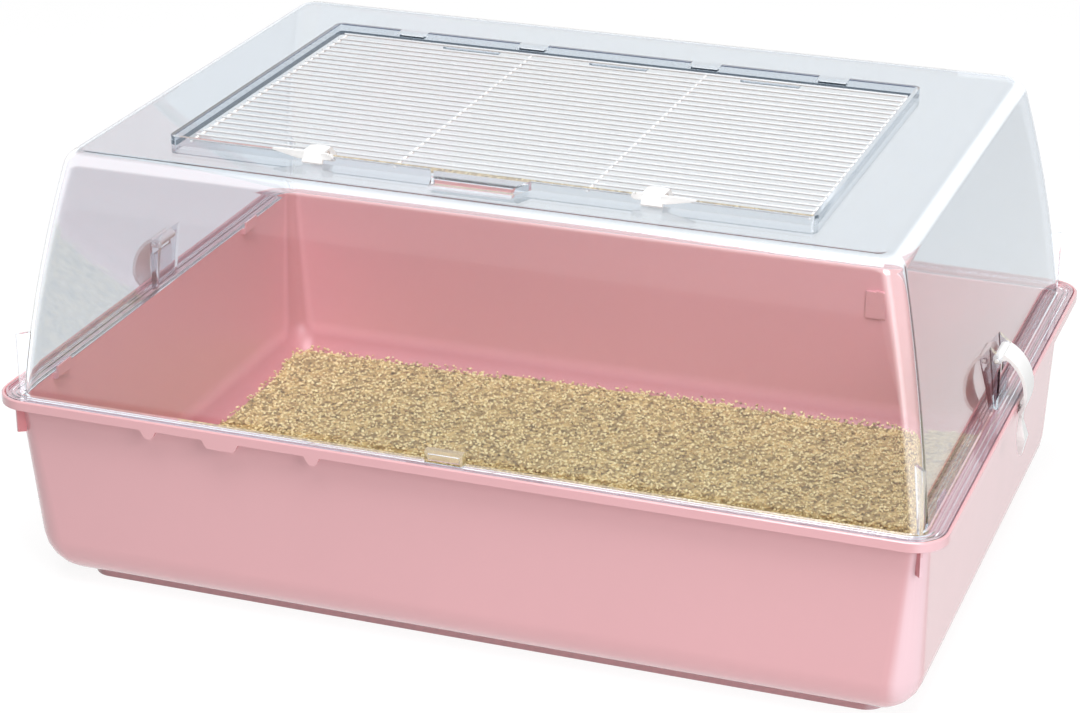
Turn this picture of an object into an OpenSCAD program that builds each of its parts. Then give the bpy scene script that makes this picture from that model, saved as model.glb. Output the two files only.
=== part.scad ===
// Pet keeper for small animals: an open tub, a clear hood that lifts off it, a wire grille
// that tilts up in the hood's roof, and four snap clips. Millimetres. +Z is up, the front
// faces -Y, the origin is the centre of the footprint and the foot rests on Z = 0.

/* [Tub] */
// Outside length of the rim along X
rim_l = 550; // [470:1:600]
// Outside width of the rim along Y
rim_w = 390; // [330:1:430]
// Height of the top of the rim above the ground
rim_z = 124; // [105:0.5:150]
// Corner radius of the rim seen from above
rim_r = 20; // [16:0.5:30]
// Height of the turned-down lip round the rim
lip_h = 5.6; // [4.6:0.1:9]
// Thickness of the lip
lip_t = 2; // [1.4:0.1:2.6]
// Depth of the channel that the hood's flange sits in
channel_d = 3; // [2.4:0.1:4]
// How far the rim overhangs the wall below it
rim_over = 9.8; // [9:0.1:11]
// Thickness of the wall and the floor
tub_t = 2.4; // [1.6:0.1:3]
// Draft of each end wall, from under the rim to the floor
draft_x = 3.2; // [1:0.1:9]
// Draft of the front and back walls, from under the rim to the floor
draft_y = 6.7; // [1:0.1:12]
// Upright corner radius under the rim
tub_r_top = 11; // [8:0.5:14]
// Upright corner radius at the floor
tub_r_floor = 23; // [12:0.5:30]
// Radius where the walls turn into the floor
tub_edge_r = 27; // [16:0.5:34]

/* [Foot ring and small tub details] */
// Height of the foot ring
foot_h = 5; // [3:0.1:8]
// Inset of the foot ring from the foot of the wall
foot_in = 22; // [18:0.5:40]
// Thickness of the foot ring
foot_t = 3; // [2:0.1:8]
// Corner radius of the foot ring
foot_r = 13; // [8:0.5:24]
// Height of the rib at each corner under the rim
rib_h = 18.5; // [8:0.5:30]
// How far each corner rib stands out from the corner
rib_out = 4; // [2:0.1:6]
// Thickness of the corner ribs
rib_t = 1.4; // [1.2:0.1:3]
// Angle of each corner rib from the front or back wall, in degrees
rib_turn = 55; // [35:1:65]
// Thickness of the lugs that locate the hood, and of the tall pad
pad_t = 1.4; // [0.8:0.1:1.9]
// Height of the two lugs on each end wall
pad_h = 8; // [6:0.5:12]
// Width of the back lug on each end wall
pad_back_w = 16; // [8:0.5:20]
// Width of the front lug on each end wall
pad_front_w = 16; // [8:0.5:20]
// Width of the tall pad on the back wall
tall_pad_w = 12; // [6:0.5:20]
// Height of the tall pad on the back wall
tall_pad_h = 18; // [8:0.5:26]
// Distance of the tall pad's middle below the top of the rim
tall_pad_down = 28; // [20:0.5:34]
// How far the small stops under the front lip hang down
stop_h = 5; // [2:0.1:8]
// Width of the two short stops
stop_w = 9.5; // [6:0.5:14]
// Width of the long stop between them
long_stop_w = 22; // [14:0.5:28]

/* [Litter] */
// Height of the litter above the ground in the middle of the tub
litter_z = 14; // [12:0.5:20]
// Gap between the litter and the tub
litter_gap = 0.3; // [0.2:0.05:0.6]
// Rise of the litter along X, in degrees
litter_tilt_x = 0.69; // [0:0.01:0.9]
// Rise of the litter towards the back, in degrees
litter_tilt_y = 0.86; // [0:0.01:1]
// Height of the low mounds in the litter
mound_h = 0.9; // [0:0.1:1.2]

/* [Hood] */
// Height of the flat roof above the ground
roof_z = 265; // [225:0.5:300]
// Thickness of the hood's walls
hood_t = 2; // [1.6:0.1:2.4]
// Thickness of the roof
roof_t = 2; // [1.6:0.1:2.6]
// Inset of the foot of the hood's walls from the outside of the rim
hood_in = 12.3; // [11.6:0.1:13.4]
// How far each end wall leans in from its foot to the roof
lean_x = 25.3; // [16:0.1:32]
// How far the front and back walls lean in from their foot to the roof
lean_y = 20.4; // [14:0.1:26]
// Share of the lean that comes from the bow of the walls
bow = 0.435; // [0:0.005:0.6]
// Radius of the edge between the walls and the roof
hood_edge_r = 9; // [6:0.5:14]
// Corner radius at the foot of the hood
hood_r_foot = 11.4; // [8:0.2:16]
// Corner radius at the roof
hood_r_roof = 14.4; // [12:0.2:24]
// Inset of the flange from the outside of the rim
flange_in = 2.5; // [2.3:0.1:4]
// Thickness of the flange
flange_t = 2; // [1.4:0.1:2.6]
// Gap between the flange and the floor of the channel
flange_gap = 0.3; // [0.2:0.05:0.6]
// Height of the bead along the flange's edge
bead_h = 1; // [0.4:0.1:1.6]
// Thickness of that bead
bead_t = 1.2; // [0.8:0.1:2]
// Height of the two low ridges that run round the flange
ridge_h = 0.6; // [0.3:0.1:1]
// Height of the clear fin at each corner of the hood
fin_h = 36.5; // [20:0.5:60]
// How far that fin stands out from the foot of the corner
fin_out = 2.6; // [1:0.1:5]
// Thickness of the fins
fin_t = 2; // [1.2:0.1:3]
// Width of the tab in the middle of the front flange
front_tab_w = 22; // [12:0.5:40]
// Height of that tab above the flange
front_tab_h = 8; // [5:0.1:9]

/* [Roof opening] */
// Outside length of the kerb round the opening
open_l = 372.4; // [340:0.5:390]
// Outside width of the kerb
open_w = 234.4; // [215:0.5:244]
// Centre of the opening along Y
open_y = -14.5; // [-18:0.5:-6]
// Height of the kerb above the roof
kerb_h = 5; // [4.4:0.1:7]
// Thickness of the kerb
kerb_t = 2.4; // [1.6:0.1:3]
// Outside corner radius of the kerb
kerb_r = 4.5; // [3.5:0.1:12]
// Width of the tabs that hold the grille's back wire down
tab_w = 18.4; // [10:0.2:26]
// Reach of those tabs from the outside of the kerb
tab_reach = 10.3; // [8:0.1:10.6]
// Thickness of the tabs
tab_t = 1.6; // [1:0.1:1.8]
// Distance of the inner tabs from the middle
tab_x1 = 55; // [40:0.5:75]
// Distance of the outer tabs from the middle
tab_x2 = 134; // [115:0.5:150]
// Width of the ledges that carry the back wire
ledge_w = 36; // [20:0.5:40]
// Distance of the side ledges from the middle
ledge_x = 95.5; // [90:0.5:100]
// Thickness of the ledges
ledge_t = 1.6; // [1.2:0.1:2.4]
// Width of the finger grip where it meets the kerb
grip_w = 58; // [40:0.5:80]
// Width of the finger grip at its front
grip_front_w = 48; // [30:0.5:56]
// Depth of the finger grip along its top
grip_d = 11; // [10:0.5:20]
// Depth of the sloping front of the finger grip
grip_slope = 10.2; // [4:0.2:11]
// Wall thickness of the finger grip
grip_t = 1.8; // [1.2:0.1:2.4]

/* [Wire grille] */
// Diameter of all the wires
wire_d = 1.5; // [1.4:0.1:1.8]
// Length of the long wires
wire_l = 359.6; // [320:0.2:362]
// Spacing of the long wires
pitch = 8.18; // [8:0.01:8.4]
// Number of long wires between the back wire and the front wire
bar_count = 25; // [20:1:25]
// Distance from the back wire to the next one
first_gap = 10; // [9:0.1:12]
// Distance from the kerb's inner back face to the back wire's axis
back_wire_in = 3.3; // [2.2:0.1:3.6]
// Depth of the wires' axes below the top of the kerb
wire_down = 5.4; // [4.6:0.1:5.4]
// Distance of the inner cross wires from the middle
cross_x1 = 55.8; // [40:0.2:70]
// Distance of the outer cross wires from the middle
cross_x2 = 178.8; // [150:0.2:179]
// Depth of the weld where two wires cross
weld = 0.3; // [0.1:0.05:0.5]

/* [Roof clips] */
// Distance of each roof clip from the middle
clip_x = 97.5; // [84:0.5:110]
// Width of a clip's body
clip_w = 12; // [9:0.5:16]
// Outside radius of the sleeve round the front wire
sleeve_r = 2.6; // [2.4:0.05:3]
// Gap between the sleeve and the wire
sleeve_gap = 0.3; // [0.25:0.05:0.4]
// Gap between the clip's nose and the kerb as it swings
nose_gap = 0.45; // [0.3:0.05:0.8]
// Reach of the long wing from the clip's middle
wing_out = 24; // [15:0.5:28]
// Reach of the short wing from the clip's middle
wing_in = 12; // [10:0.5:18]
// Thickness of the arm over the kerb
arm_t = 1.3; // [1:0.1:2]
// Height of the thumb ridge above the arm
thumb_h = 1.4; // [0.6:0.1:3]

/* [End clips] */
// Height of the end clips' pins above the ground
pin_z = 152.5; // [150:0.5:156]
// Radius of the pins
pin_r = 1.1; // [0.9:0.05:1.3]
// Gap between a pin and its hole
pin_gap = 0.3; // [0.2:0.05:0.35]
// Radius of the clip's barrel
barrel_r = 2.9; // [2.7:0.05:3]
// Width of the strap
strap_w = 20; // [14:0.5:24]
// Thickness of the strap
strap_t = 2; // [1.5:0.1:2.2]
// Outside radius of the strap's bow
strap_r = 27.2; // [26.8:0.2:28]
// Gap between the strap and the outside of the rim
strap_gap = 0.35; // [0.3:0.05:0.8]
// Thickness of each cheek that carries a pin
cheek_t = 3.4; // [2:0.1:5]
// Gap between the strap and each cheek
cheek_gap = 0.6; // [0.4:0.05:1.2]
// How far the cheeks' outer faces stand inside the outside of the rim
cheek_in = 9.6; // [9:0.1:9.8]
// Length of the narrow neck below the strap's bow
neck_l = 6; // [4:0.5:10]
// Width of the thumb leaf at the strap's end
leaf_w = 10; // [8:0.5:16]
// Length of the thumb leaf
leaf_l = 21.5; // [14:0.5:30]

/* [Hidden] */
pink = [0.88, 0.67, 0.70];
clear = [0.88, 0.92, 0.94, 0.45];
white = [0.96, 0.96, 0.95];
tan = [0.76, 0.66, 0.47];
overlap = 0.5;
round_fn = 64;
corner_steps = 8;
edge_steps = 6;
past = 30;

// Tub
rim_x = rim_l / 2;
rim_y = rim_w / 2;
lip_z = rim_z - lip_h;
channel_z = rim_z - channel_d;
channel_t = 1.7;
wall_x = rim_x - rim_over;
wall_y = rim_y - rim_over;
floor_x = wall_x - draft_x;
floor_y = wall_y - draft_y;

// Hood
base_x = rim_x - hood_in;
base_y = rim_y - hood_in + 1.9;
flange_z = channel_z + flange_gap;
flange_top = flange_z + flange_t;

// Litter
mound_x = 270;
mound_y = 210;
mound_turn_x = 74.5;
mound_turn_y = 22.9;
heap_nx = 12;
heap_ny = 8;

// Roof opening
kerb_z = roof_z + kerb_h;
kerb_back = open_y + open_w / 2;
kerb_front = open_y - open_w / 2;

// Grille
wire_r = wire_d / 2;
wire_z = kerb_z - wire_down;
cross_z = wire_z - wire_d + weld;
back_wire_y = kerb_back - kerb_t - back_wire_in;
front_wire_y = back_wire_y - first_gap - bar_count * pitch;

// Roof clips, measured forward (f) and up from the axis of the front wire
kerb_f_in = front_wire_y - kerb_front - kerb_t;
kerb_f_out = front_wire_y - kerb_front;
nose_r = norm([kerb_f_out, wire_down]) + nose_gap;
nose_z = roof_z - wire_z + 0.45;
nose_f = nose_r + 2.2;
arm_z = wire_down + 0.5;
arm_top = arm_z + arm_t;
ridge_top = arm_top + thumb_h;

// End clips
pin_x = rim_x - 12.1;
cheek_x = rim_x - cheek_in;
strap_cx = rim_x + 5.6 - strap_r;
strap_cz = pin_z - 21;
neck_x = rim_x + strap_gap;
neck_angle = acos((neck_x - strap_cx) / (strap_r - strap_t));
neck_top = strap_cz - (strap_r - strap_t) * sin(neck_angle);
leaf_top = neck_top - neck_l;
leaf_end = leaf_top - leaf_l;

function blend(a, b, t) = a + (b - a) * t;
function up_wall(z) = max(0, (z - foot_h) / (lip_z - foot_h));
function tub_hx(z) = blend(floor_x, wall_x, up_wall(z));
function tub_hy(z) = blend(floor_y, wall_y, up_wall(z));
function tub_r(z) = blend(tub_r_floor, tub_r_top, min(1, up_wall(z)));
function up_hood(z) = max(0, (z - rim_z) / (roof_z - rim_z));
function lean(z) = up_hood(z) * (1 - bow) + bow * pow(up_hood(z), 2);
function hood_hx(z) = base_x - lean_x * lean(z);
function hood_hy(z) = base_y - lean_y * lean(z);
function hood_r(z) = blend(hood_r_foot, hood_r_roof, up_hood(z));
function litter_level(x, y) = litter_z + x * tan(litter_tilt_x) + y * tan(litter_tilt_y)
    + mound_h * sin(360 * x / mound_x + mound_turn_x) * cos(360 * y / mound_y + mound_turn_y);

// One level of a shell: a rounded rectangle of half sizes hx and hy at height z
function ring(hx, hy, z, r) = [for (q = [0:3]) for (i = [0:corner_steps])
    let (a = 90 * (q + i / corner_steps), sx = (q == 0 || q == 3) ? 1 : -1, sy = (q < 2) ? 1 : -1)
    [sx * (hx - r) + r * cos(a), sy * (hy - r) + r * sin(a), z]];

function tub_ring(z, inset) = ring(tub_hx(z) - inset, tub_hy(z) - inset, z,
    max(tub_r(z) - inset, 2));
function rim_ring(z, inset) = ring(rim_x - inset, rim_y - inset, z, rim_r - inset);
function hood_ring(z, inset) = ring(hood_hx(z) - inset, hood_hy(z) - inset, z,
    max(hood_r(z) - inset, 1));

// Closed skin over a stack of levels, with the first and last closed flat
module loft(levels) {
    n = len(levels[0]);
    last = len(levels) - 1;
    polyhedron(
        points = [for (level = levels) for (p = level) p],
        faces = concat(
            [[for (j = [0:n - 1]) j]],
            [for (i = [0:last - 1]) for (j = [0:n - 1]) let (k = (j + 1) % n)
                [i * n + j, (i + 1) * n + j, (i + 1) * n + k, i * n + k]],
            [[for (j = [n - 1:-1:0]) last * n + j]]),
        convexity = 8);
}

module rounded_rect(hx, hy, r) {
    square([2 * hx, 2 * (hy - r)], center = true);
    square([2 * (hx - r), 2 * hy], center = true);
    for (sx = [-1, 1]) for (sy = [-1, 1])
        translate([sx * (hx - r), sy * (hy - r)]) circle(r, $fn = round_fn);
}

// A profile drawn in X and Z, given its width along Y
module slab_y(width) {
    rotate([90, 0, 0]) linear_extrude(width, center = true) children();
}

// A profile drawn in Y and Z, given its width along X
module slab_x(width) {
    rotate([90, 0, 90]) linear_extrude(width, center = true) children();
}

module at_corners(cx, cy, turn = 45) {
    for (mx = [0, 1]) for (my = [0, 1])
        mirror([mx, 0, 0]) mirror([0, my, 0])
            translate([cx, cy, 0]) rotate([0, 0, turn]) children();
}

// ---------------------------------------------------------------- tub
module tub_shell() {
    inner_r = tub_edge_r - tub_t;
    outside = [for (i = [0:edge_steps]) let (a = 90 * i / edge_steps)
        tub_ring(foot_h + tub_edge_r * (1 - cos(a)), tub_edge_r * (1 - sin(a)))];
    rim = [
        tub_ring(channel_z - channel_t, 0),
        rim_ring(channel_z - channel_t, lip_t),
        rim_ring(lip_z, lip_t),
        rim_ring(lip_z, 0),
        rim_ring(rim_z - 0.6, 0),
        rim_ring(rim_z, 0.6),
        rim_ring(rim_z, lip_t - 0.4),
        rim_ring(rim_z - 0.4, lip_t),
        rim_ring(channel_z, lip_t),
        tub_ring(channel_z, tub_t - 0.8),
        tub_ring(channel_z - 0.8, tub_t)];
    inside = [for (i = [edge_steps:-1:0]) let (a = 90 * i / edge_steps)
        tub_ring(foot_h + tub_t + inner_r * (1 - cos(a)), tub_t + inner_r * (1 - sin(a)))];
    loft(concat(outside, rim, inside));
}

module foot_ring() {
    linear_extrude(foot_h + 1.2) difference() {
        rounded_rect(floor_x - foot_in, floor_y - foot_in, foot_r);
        rounded_rect(floor_x - foot_in - foot_t, floor_y - foot_in - foot_t, foot_r - foot_t);
    }
}

// Upright rib on each corner, under the rim
module corner_ribs() {
    at_corners(wall_x - tub_r_top, wall_y - tub_r_top, rib_turn) slab_y(rib_t) polygon([
        [tub_r_top - 1.6, channel_z - channel_t + overlap],
        [tub_r_top + rib_out, channel_z - channel_t + overlap],
        [tub_r_top + rib_out, channel_z - channel_t - rib_h],
        [tub_r_top - 1.6, channel_z - channel_t - rib_h - 1]]);
}

// Small stops that hang from the front lip, left of the middle
module lip_stop(x, w, h) {
    translate([x, -rim_y + lip_t / 2, 0]) slab_y(lip_t) polygon([
        [-w / 2, lip_z + overlap], [-w / 2, lip_z], [-w / 2 + h * 0.25, lip_z - h * 0.55],
        [-w / 2 + h * 0.6, lip_z - h], [w / 2 - h * 0.6, lip_z - h],
        [w / 2 - h * 0.25, lip_z - h * 0.55], [w / 2, lip_z], [w / 2, lip_z + overlap]]);
}

// Lug on an end wall: it rises inside the foot of the hood and keeps the hood in place
module hood_lug(y, width) {
    lug_x = base_x - hood_t - flange_gap;
    wall_in = wall_x - tub_t;
    foot = rim_z - pad_h;
    translate([0, y, 0]) slab_y(width) polygon([
        [wall_in + overlap, foot], [lug_x, foot], [lug_x - pad_t, foot + pad_t],
        [lug_x - pad_t, rim_z + 0.4], [lug_x - 0.4, rim_z + 0.4], [lug_x, rim_z],
        [lug_x, channel_z - 1], [wall_in + overlap, channel_z - 1]]);
}

module wall_pads() {
    for (m = [0, 1]) mirror([m, 0, 0]) {
        hood_lug(rim_y * 0.6, pad_back_w);
        hood_lug(-rim_y * 0.692, pad_front_w);
    }
    tall_z = rim_z - tall_pad_down;
    translate([rim_x * 0.534, tub_hy(tall_z) - tub_t - pad_t / 2 + overlap, tall_z])
        cube([tall_pad_w, pad_t + 3 * overlap, tall_pad_h], center = true);
}

module tub() {
    color(pink) {
        tub_shell();
        foot_ring();
        corner_ribs();
        lip_stop(-0.637 * rim_x, stop_w, stop_h);
        lip_stop(-0.476 * rim_x, long_stop_w, stop_h);
        lip_stop(-0.275 * rim_x, stop_w, stop_h);
        wall_pads();
    }
}

// ---------------------------------------------------------------- litter
// Block whose top is the uneven surface of the granules
module heap() {
    xs = [for (i = [0:heap_nx]) (2 * i / heap_nx - 1) * rim_x];
    ys = [for (j = [0:heap_ny]) (2 * j / heap_ny - 1) * rim_y];
    row = heap_ny + 1;
    last = (heap_nx + 1) * row;
    polyhedron(
        points = concat(
            [for (x = xs) for (y = ys) [x, y, litter_level(x, y)]],
            [[-rim_x, -rim_y, 0], [rim_x, -rim_y, 0], [rim_x, rim_y, 0], [-rim_x, rim_y, 0]]),
        faces = concat(
            [for (i = [0:heap_nx - 1]) for (j = [0:heap_ny - 1]) let (k = i * row + j)
                [k, k + 1, k + row]],
            [for (i = [0:heap_nx - 1]) for (j = [0:heap_ny - 1]) let (k = i * row + j)
                [k + 1, k + row + 1, k + row]],
            [concat([for (i = [0:heap_nx]) i * row], [last + 1, last])],
            [concat([for (j = [0:heap_ny]) heap_nx * row + j], [last + 2, last + 1])],
            [concat([for (i = [heap_nx:-1:0]) i * row + heap_ny], [last + 3, last + 2])],
            [concat([for (j = [heap_ny:-1:0]) j], [last, last + 3])],
            [[last, last + 1, last + 2, last + 3]]),
        convexity = 4);
}

module litter() {
    inset = tub_t + litter_gap;
    inner_r = tub_edge_r - inset;
    color(tan) intersection() {
        loft([for (i = [0:edge_steps]) let (a = 90 * i / edge_steps)
            tub_ring(foot_h + inset + inner_r * (1 - cos(a)), inset + inner_r * (1 - sin(a)))]);
        heap();
    }
}

// ---------------------------------------------------------------- hood
module hood_shell() {
    ridge_in = flange_in + bead_t + 1.6;
    knee = roof_z - hood_edge_r;
    in_r = hood_edge_r - hood_t;
    wall_steps = 7;
    ceiling = [for (i = [edge_steps:-1:1]) let (a = 90 * i / edge_steps)
        hood_ring(knee + (hood_edge_r - roof_t) * sin(a), hood_t + in_r * (1 - cos(a)))];
    inside = [for (i = [wall_steps:-1:0]) hood_ring(blend(rim_z, knee, i / wall_steps), hood_t)];
    flange = [
        hood_ring(flange_z, hood_t),
        rim_ring(flange_z, flange_in),
        rim_ring(flange_top + bead_h, flange_in),
        rim_ring(flange_top + bead_h, flange_in + bead_t),
        rim_ring(flange_top, flange_in + bead_t),
        rim_ring(flange_top, ridge_in),
        rim_ring(flange_top + ridge_h, ridge_in + 0.5),
        rim_ring(flange_top + ridge_h, ridge_in + 1),
        rim_ring(flange_top, ridge_in + 1.5),
        rim_ring(flange_top, ridge_in + 2.6),
        rim_ring(flange_top + ridge_h, ridge_in + 3.1),
        rim_ring(flange_top + ridge_h, ridge_in + 3.6),
        rim_ring(flange_top, ridge_in + 4.1),
        hood_ring(flange_top, -0.8),
        hood_ring(flange_top + 0.8, 0)];
    outside = [for (i = [1:wall_steps]) hood_ring(blend(rim_z, knee, i / wall_steps), 0)];
    edge = [for (i = [1:edge_steps]) let (a = 90 * i / edge_steps)
        hood_ring(knee + hood_edge_r * sin(a), hood_edge_r * (1 - cos(a)))];
    loft(concat(ceiling, inside, flange, outside, edge));
}

module opening(inset, z0, z1) {
    translate([0, open_y, z0]) linear_extrude(z1 - z0)
        rounded_rect(open_l / 2 - inset, open_w / 2 - inset, kerb_r - inset);
}

// Clear fin that stands on the flange at each corner
module corner_fins() {
    foot_cx = base_x - hood_r_foot;
    foot_cy = base_y - hood_r_foot;
    top = flange_top + fin_h;
    drift = (hood_hx(top) - hood_r(top) - foot_cx + hood_hy(top) - hood_r(top) - foot_cy) / sqrt(2);
    at_corners(foot_cx, foot_cy) slab_y(fin_t) polygon([
        [hood_r_foot - 1, flange_top - overlap],
        [hood_r_foot + fin_out, flange_top - overlap],
        [hood_r_foot + fin_out, top],
        [hood_r(top) + drift - 1, top]]);
}

// Box on each end wall: two cheeks with a hole for the clip's pin and a plate below it
module clip_housing() {
    cheek_y = strap_w / 2 + cheek_gap + cheek_t / 2;
    top = pin_z + 1.6;
    for (s = [-1, 1]) translate([0, s * cheek_y, 0]) difference() {
        slab_y(cheek_t) polygon([
            [hood_hx(rim_z) - 1, flange_top - overlap],
            [cheek_x, flange_top - overlap],
            [cheek_x, top],
            [hood_hx(top + 5) + 0.6, top + 5],
            [hood_hx(top + 5) - 1, top + 5]]);
        translate([pin_x, 0, pin_z]) rotate([90, 0, 0])
            cylinder(h = cheek_t + 1, r = pin_r + pin_gap, center = true, $fn = round_fn);
    }
    slab_y(strap_w + 2 * cheek_gap + 1) polygon([
        [cheek_x - 1.8, flange_top - overlap],
        [cheek_x, flange_top - overlap],
        [cheek_x, pin_z - 7],
        [cheek_x - 1.8, pin_z - 7]]);
}

module finger_grip() {
    back = kerb_front + kerb_t;
    front = kerb_front - grip_d;
    toe = front - grip_slope;
    toe_z = roof_z - 1.5;
    difference() {
        intersection() {
            slab_x(grip_w + 10) polygon([
                [back, roof_z - roof_t], [back, kerb_z], [front + 2, kerb_z],
                [front + 0.6, kerb_z - 0.4], [front, kerb_z - 1.2],
                [toe, toe_z], [toe, roof_z - roof_t]]);
            translate([0, 0, roof_z - past / 2]) linear_extrude(past) polygon([
                [-grip_w / 2, back + 1], [grip_w / 2, back + 1], [grip_w / 2, kerb_front],
                [grip_front_w / 2, front], [grip_front_w / 2, toe],
                [-grip_front_w / 2, toe], [-grip_front_w / 2, front], [-grip_w / 2, kerb_front]]);
        }
        intersection() {
            slab_x(grip_w + 10) polygon([
                [kerb_front, roof_z - roof_t - 1], [kerb_front, kerb_z - grip_t],
                [front + 1, kerb_z - grip_t], [toe + grip_t + 2.2, roof_z - roof_t - 1]]);
            translate([0, 0, roof_z - past / 2]) linear_extrude(past) polygon([
                [-grip_w / 2 + grip_t, kerb_front], [grip_w / 2 - grip_t, kerb_front],
                [grip_front_w / 2 - grip_t, front], [grip_front_w / 2 - grip_t, toe],
                [-grip_front_w / 2 + grip_t, toe], [-grip_front_w / 2 + grip_t, front]]);
        }
    }
}

// Catch in the middle of the front flange, with a shallow window in its face
module front_tab() {
    face = -rim_y + flange_in + 2.5;
    top = flange_top + front_tab_h;
    difference() {
        slab_x(front_tab_w) polygon([
            [-base_y + 1.4, flange_top - overlap], [-base_y + 1.4, top - 1.6], [-base_y - 1, top],
            [face + 0.8, top], [face, top - 0.8], [face, flange_top - overlap]]);
        translate([0, face, flange_top + front_tab_h * 0.5])
            cube([front_tab_w - 4, 2.4, front_tab_h * 0.45], center = true);
    }
}

module hood() {
    color(clear) {
        difference() {
            union() {
                hood_shell();
                opening(0, roof_z - roof_t, kerb_z);
            }
            opening(kerb_t, roof_z - roof_t - 2, kerb_z + 1);
            // hollow of the finger grip, open to below
            translate([0, 0, roof_z - roof_t - 1]) linear_extrude(roof_t + 1.6) polygon([
                [-grip_w / 2 + grip_t, kerb_front - 0.01], [grip_w / 2 - grip_t, kerb_front - 0.01],
                [grip_front_w / 2 - grip_t, kerb_front - grip_d + 1],
                [-grip_front_w / 2 + grip_t, kerb_front - grip_d + 1]]);
        }
        finger_grip();
        for (x = [-tab_x2, -tab_x1, tab_x1, tab_x2])
            translate([x - tab_w / 2, kerb_back - tab_reach, kerb_z - tab_t])
                cube([tab_w, tab_reach - kerb_t / 2, tab_t]);
        for (x = [-ledge_x, 0, ledge_x])
            translate([x - ledge_w / 2, back_wire_y - wire_r, wire_z - wire_r - 0.3 - ledge_t])
                cube([ledge_w, kerb_back - back_wire_y + wire_r, ledge_t]);
        for (s = [-1, 1]) translate([s * clip_x - 5, kerb_front - 0.8, roof_z - overlap])
            cube([10, 0.8 + overlap, 1.6 + overlap]);
        corner_fins();
        front_tab();
        clip_housing();
        mirror([1, 0, 0]) clip_housing();
    }
}

// ---------------------------------------------------------------- wire grille
module long_wire(y) {
    translate([0, y, wire_z]) rotate([0, 90, 0])
        cylinder(h = wire_l, r = wire_r, center = true, $fn = 24);
}

module grille_back_wire() {
    color(white) long_wire(back_wire_y);
}

module grille_bars() {
    color(white) for (i = [0:bar_count - 1]) long_wire(back_wire_y - first_gap - i * pitch);
}

module grille_front_wire() {
    color(white) long_wire(front_wire_y);
}

module grille_cross_wires() {
    length = back_wire_y - front_wire_y + wire_d;
    color(white) for (x = [-cross_x2, -cross_x1, cross_x1, cross_x2])
        translate([x, (back_wire_y + front_wire_y) / 2, cross_z]) rotate([90, 0, 0])
            cylinder(h = length, r = wire_r, center = true, $fn = 24);
}

// ---------------------------------------------------------------- roof clips
// Snap clip that turns on the front wire; drawn with f forward and z up from that wire
module roof_clip_side() {
    difference() {
        union() {
            circle(sleeve_r, $fn = round_fn);
            polygon([
                [-sleeve_r * 0.5, sleeve_r * 0.8], [3.4, arm_top - 0.6],
                [kerb_f_in * 0.6, ridge_top], [kerb_f_in * 0.72, ridge_top],
                [kerb_f_out - 1.4, ridge_top - 0.7], [nose_r + 0.8, arm_z - 0.9],
                [nose_f, nose_z + 0.8], [nose_f - 0.3, nose_z],
                [kerb_f_out, nose_z], [kerb_f_out, arm_z], [7.6, arm_z], [2.2, -0.8]]);
        }
        circle(wire_r + sleeve_gap, $fn = round_fn);
        swing_room();
    }
}

// What the kerb needs free in front of it as the clip swings
module swing_room() {
    intersection() {
        circle(nose_r, $fn = 2 * round_fn);
        translate([kerb_f_out - 1, -1]) square([nose_r, arm_z + 1]);
    }
}

module roof_clip() {
    side = clip_w / 2;
    wing_top = arm_top - 0.1;
    translate([clip_x, front_wire_y, wire_z]) {
        // wedge: its top falls from the thumb ridge to both sides
        intersection() {
            rotate([90, 0, -90]) linear_extrude(clip_w, center = true) roof_clip_side();
            rotate([90, 0, 0]) linear_extrude(2 * past, center = true) polygon([
                [-side, -sleeve_r - 1], [side, -sleeve_r - 1], [side, arm_top],
                [0.8, ridge_top + 0.1], [-0.8, ridge_top + 0.1], [-side, arm_top]]);
        }
        // wings along the front of the kerb: a long one outward and a short forked one
        intersection() {
            rotate([90, 0, 0]) linear_extrude(nose_f) {
                polygon([
                    [side - 1, arm_z - 3.2], [side + 2, arm_z - 3.2], [wing_out, wing_top - 1],
                    [wing_out, wing_top - 0.4], [wing_out - 6, wing_top], [side - 1, wing_top]]);
                polygon([
                    [-side + 1, arm_z - 2.6], [-wing_in + 1.6, arm_z - 2.2], [-wing_in, arm_z - 1],
                    [-wing_in + 0.8, wing_top - 0.4], [-wing_in + 2, wing_top - 0.2],
                    [-wing_in + 2.4, arm_z - 0.6], [-wing_in + 3.2, wing_top],
                    [-side + 1, wing_top]]);
            }
            rotate([90, 0, -90]) linear_extrude(2 * past, center = true) difference() {
                translate([kerb_f_out + 0.2, 0]) square([2.2, ridge_top]);
                swing_room();
            }
        }
    }
}

module roof_clip_right() {
    color(white) roof_clip();
}

module roof_clip_left() {
    color(white) mirror([1, 0, 0]) roof_clip();
}

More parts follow.
